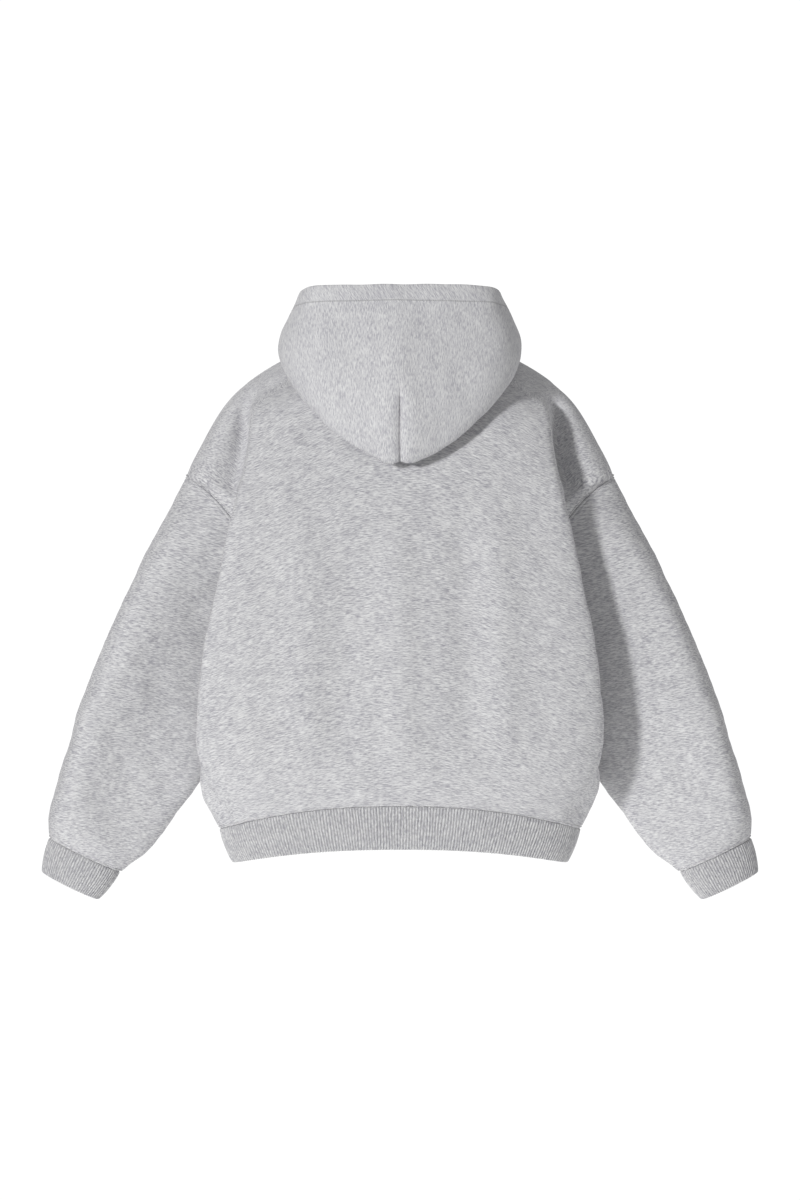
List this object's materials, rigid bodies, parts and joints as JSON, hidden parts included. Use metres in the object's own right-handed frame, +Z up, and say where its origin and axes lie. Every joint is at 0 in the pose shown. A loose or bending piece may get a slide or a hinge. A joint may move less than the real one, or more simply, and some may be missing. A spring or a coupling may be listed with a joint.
{
  "type": "fleece hoodie",
  "caption": "Oversized pullover hoodie in heather grey fleece, hood thrown back, drop shoulders, ribbed hem and cuffs, filled out with no wearer.",
  "frame": {"origin": "the middle of the neck base, between the two points where the shoulder seams meet the neckline", "axes": "+Z up, -Y the way the front looks, +X to the wearer's left"},
  "size_m": [1.011, 0.3243, 0.8474],
  "materials": {
    "fleece": "soft heather fleece, matt, with a fine streaky face",
    "rib": "heather rib knit, matt"
  },
  "bodies": {
    "root": {"back_panel": "fleece", "front_panel": "fleece", "sleeve_left": "fleece", "sleeve_right": "fleece", "cuff_left": "rib", "cuff_right": "rib", "hem_rib": "rib", "hood": "fleece"}
  },
  "joints": []
}
